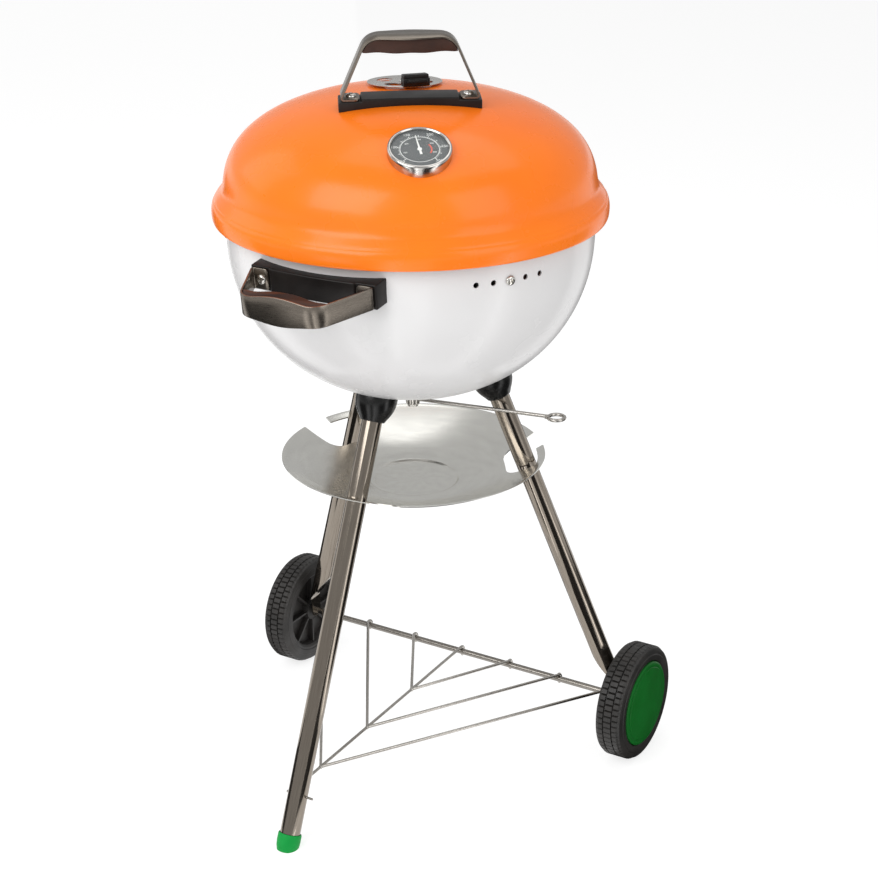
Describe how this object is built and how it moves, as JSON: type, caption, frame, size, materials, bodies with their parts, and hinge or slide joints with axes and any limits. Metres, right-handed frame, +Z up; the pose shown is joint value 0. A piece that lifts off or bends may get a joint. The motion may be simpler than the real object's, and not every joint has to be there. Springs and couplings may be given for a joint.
{
  "type": "kettle charcoal grill",
  "caption": "Round covered charcoal grill: enamelled bowl and lid on splayed legs with wheels, lid thermometer, dampers, ash dish and a wire rack.",
  "frame": {"origin": "on the floor under the middle of the whole grill's footprint; the kettle's own vertical axis stands 40 mm from it towards +Y", "axes": "+Z up, -Y towards the single front leg and the side handle, the wheel axle parallel to X"},
  "size_m": [0.5784, 0.5623, 0.9691],
  "materials": {
    "white_enamel": "glossy vitreous enamel",
    "orange_enamel": "glossy enamel",
    "dark_steel": "polished dark stainless tube",
    "brushed_strip": "brushed",
    "bezel_steel": "satin",
    "galvanised": "dull zinc coat",
    "dish_aluminium": "rolled sheet, satin",
    "wire": "bright plated wire",
    "zinc": "bright zinc plate",
    "black_plastic": "moulded, slight sheen",
    "grip_plastic": "smooth moulded",
    "socket_plastic": "glossy moulded",
    "tyre_plastic": "moulded tread",
    "cap_green": "satin moulded",
    "foot_green": "moulded",
    "dial_face": "printed, matt",
    "lens_glass": "clear",
    "needle_white": "painted"
  },
  "bodies": {
    "stand": {"bowl_shell": "white_enamel", "side_handle_bracket": "black_plastic", "side_handle_strip": "brushed_strip", "side_handle_grip": "grip_plastic", "side_handle_screw_left": "zinc", "side_handle_screw_right": "zinc", "side_handle_nut_left": "zinc", "side_handle_nut_right": "zinc", "grate_support_1": "galvanised", "grate_support_2": "galvanised", "grate_support_3": "galvanised", "grate_support_screw_1": "zinc", "grate_support_screw_2": "zinc", "grate_support_screw_3": "zinc", "front_leg": "dark_steel", "rear_leg_right": "dark_steel", "rear_leg_left": "dark_steel", "leg_socket_front": "socket_plastic", "leg_socket_rear_right": "socket_plastic", "leg_socket_rear_left": "socket_plastic", "leg_bolt_front": "zinc", "leg_bolt_rear_right": "zinc", "leg_bolt_rear_left": "zinc", "foot_cap": "foot_green", "axle_rod": "zinc", "axle_nut_right": "zinc", "axle_nut_left": "zinc", "wire_rack": "wire", "rack_pin": "zinc"},
    "lid": {"lid_shell": "orange_enamel", "lid_handle_bracket": "black_plastic", "lid_handle_strip": "brushed_strip", "lid_handle_grip": "grip_plastic", "lid_handle_screw_left": "zinc", "lid_handle_screw_right": "zinc", "lid_handle_nut_left": "zinc", "lid_handle_nut_right": "zinc", "lid_damper_rivet": "zinc", "thermometer_case": "bezel_steel", "thermometer_dial": "dial_face", "thermometer_lens": "lens_glass", "thermometer_stem": "zinc", "thermometer_nut": "zinc"},
    "lid_damper": {"lid_damper_disc": "dish_aluminium", "lid_damper_tab": "black_plastic"},
    "gauge_needle": {"thermometer_needle": "needle_white"},
    "bottom_damper": {"damper_sweep_plate": "galvanised", "damper_pivot": "zinc", "damper_lever": "wire"},
    "dish": {"ash_dish": "dish_aluminium"},
    "cooking_grate_body": {"cooking_grate": "wire"},
    "charcoal_grate_body": {"charcoal_grate": "wire"},
    "right_wheel": {"wheel_right": "tyre_plastic", "hubcap_right": "cap_green"},
    "left_wheel": {"wheel_left": "tyre_plastic", "hubcap_left": "cap_green"}
  },
  "joints": [
    {"name": "lid_lift", "type": "slide", "parent": "stand", "child": "lid", "axis": [0, 0, 1], "range_m": [0, 0.3]},
    {"name": "lid_damper_turn", "type": "hinge", "parent": "lid", "child": "lid_damper", "pos_m": [-0.02636, 0.07154, 0.88816], "axis": [-0.0375, 0.0523, 0.9979], "range_deg": [-45, 0]},
    {"name": "gauge_needle_turn", "type": "hinge", "parent": "lid", "child": "gauge_needle", "pos_m": [0.10037, -0.09968, 0.85917], "axis": [0.2395, -0.3334, 0.9119], "range_deg": [-120, 110]},
    {"name": "bottom_damper_turn", "type": "hinge", "parent": "stand", "child": "bottom_damper", "pos_m": [0, 0.04, 0.494], "axis": [0, 0, 1], "range_deg": [-60, 4]},
    {"name": "dish_twist", "type": "hinge", "parent": "stand", "child": "dish", "pos_m": [0, 0.04, 0.42], "axis": [0, 0, 1], "range_deg": [-18, 0]},
    {"name": "cooking_grate_lift", "type": "slide", "parent": "stand", "child": "cooking_grate_body", "axis": [0, 0, 1], "range_m": [0, 0.04]},
    {"name": "charcoal_grate_lift", "type": "slide", "parent": "stand", "child": "charcoal_grate_body", "axis": [0, 0, 1], "range_m": [0, 0.09]},
    {"name": "right_wheel_spin", "type": "hinge", "parent": "stand", "child": "right_wheel", "pos_m": [0.2642, 0.15883, 0.077], "axis": [1, 0, 0], "continuous": true},
    {"name": "left_wheel_spin", "type": "hinge", "parent": "stand", "child": "left_wheel", "pos_m": [-0.2642, 0.15883, 0.077], "axis": [1, 0, 0], "continuous": true}
  ]
}
